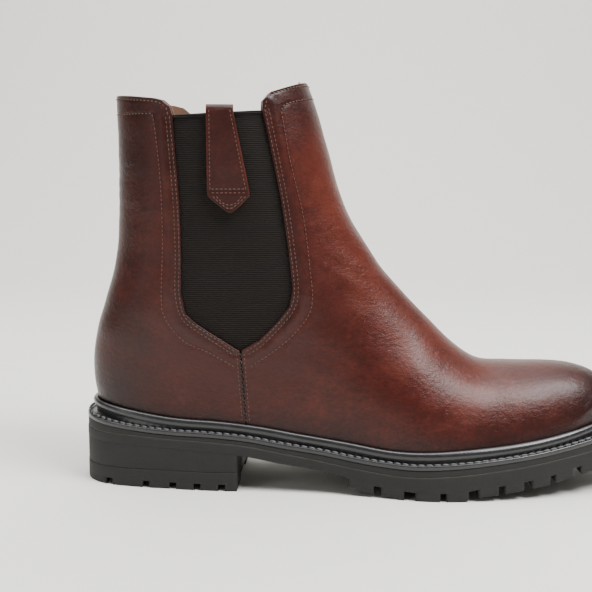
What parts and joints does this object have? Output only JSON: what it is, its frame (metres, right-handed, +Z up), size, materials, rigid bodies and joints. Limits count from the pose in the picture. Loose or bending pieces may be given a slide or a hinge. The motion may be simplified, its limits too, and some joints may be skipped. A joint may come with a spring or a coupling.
{
  "type": "chelsea boot",
  "caption": "Right ankle boot with ribbed elastic side gussets, pull tabs, storm welt and a lugged rubber sole; rear shaft opens and tabs lift.",
  "frame": {"origin": "on the ground, under the middle of the boot's outline box", "axes": "+X to the toe, +Y to the inner (medial) side of this right boot, +Z up"},
  "size_m": [0.2953, 0.0975, 0.211],
  "materials": {
    "burnished_leather": "burnished reddish-brown box leather, darker at toe, heel and edges, satin",
    "ribbed_elastic": "horizontally ribbed black-brown elastic webbing",
    "tab_leather": "folded red-brown leather strap, stitched round its edge",
    "lining_leather": "smooth tan lining leather",
    "stiffener_board": "moulded fibre stiffener",
    "backing_tape": "woven cotton tape",
    "insole_leather": "bare vegetable-tanned insole leather",
    "footbed_leather": "brown leather sock over foam",
    "latex_foam": "latex foam",
    "shank_steel": "blued spring-steel strip",
    "cork": "granulated cork",
    "welt_rubber": "glossy black moulded welt",
    "stitch_thread": "dark grey waxed thread",
    "sole_rubber": "matt black-brown lugged rubber",
    "nail_brass": "brass heel nails"
  },
  "bodies": {
    "boot": {"vamp": "burnished_leather", "quarter_lower": "burnished_leather", "vamp_lining": "lining_leather", "heel_lining": "lining_leather", "heel_counter": "stiffener_board", "toe_puff": "stiffener_board", "side_tape_lateral": "backing_tape", "side_tape_medial": "backing_tape", "collar_tape_front": "backing_tape", "insole_board": "insole_leather", "insole_rib": "backing_tape", "footbed": "footbed_leather", "heel_pad": "latex_foam", "shank": "shank_steel", "cork_filler": "cork", "welt": "welt_rubber", "welt_thread": "stitch_thread", "midsole": "sole_rubber", "outsole": "sole_rubber", "heel_block": "sole_rubber", "heel_top_piece": "sole_rubber", "heel_nails": "nail_brass"},
    "shaft_back": {"quarter_upper": "burnished_leather", "back_lining": "lining_leather", "collar_tape_back": "backing_tape"},
    "gore_lateral": {"gore_lateral": "ribbed_elastic", "tab_anchor_lateral": "tab_leather"},
    "gore_medial": {"gore_medial": "ribbed_elastic", "tab_anchor_medial": "tab_leather"},
    "tab_lateral": {"pull_tab_lateral": "tab_leather"},
    "tab_medial": {"pull_tab_medial": "tab_leather"}
  },
  "joints": [
    {"name": "shaft_opening", "type": "hinge", "parent": "boot", "child": "shaft_back", "pos_m": [-0.144, 0, 0.0666], "axis": [0, -1, 0], "range_deg": [0, 8], "stiffness_Nm_per_rad": 6},
    {"name": "gore_lateral_stretch", "type": "hinge", "parent": "boot", "child": "gore_lateral", "pos_m": [-0.144, 0, 0.0666], "axis": [0, -1, 0], "range_deg": [0, 4], "deforming": ["gore_lateral"]},
    {"name": "gore_medial_stretch", "type": "hinge", "parent": "boot", "child": "gore_medial", "pos_m": [-0.144, 0, 0.0666], "axis": [0, -1, 0], "range_deg": [0, 4], "deforming": ["gore_medial"]},
    {"name": "tab_lateral_lift", "type": "hinge", "parent": "gore_lateral", "child": "tab_lateral", "pos_m": [-0.0664, -0.0365, 0.1553], "axis": [1, 0, 0], "range_deg": [0, 8], "stiffness_Nm_per_rad": 0.03},
    {"name": "tab_medial_lift", "type": "hinge", "parent": "gore_medial", "child": "tab_medial", "pos_m": [-0.0664, 0.0365, 0.1553], "axis": [-1, 0, 0], "range_deg": [0, 8], "stiffness_Nm_per_rad": 0.03}
  ],
  "couplings": [
    {"joint": "gore_lateral_stretch", "follows": "shaft_opening", "ratio": 0.5},
    {"joint": "gore_medial_stretch", "follows": "shaft_opening", "ratio": 0.5}
  ]
}
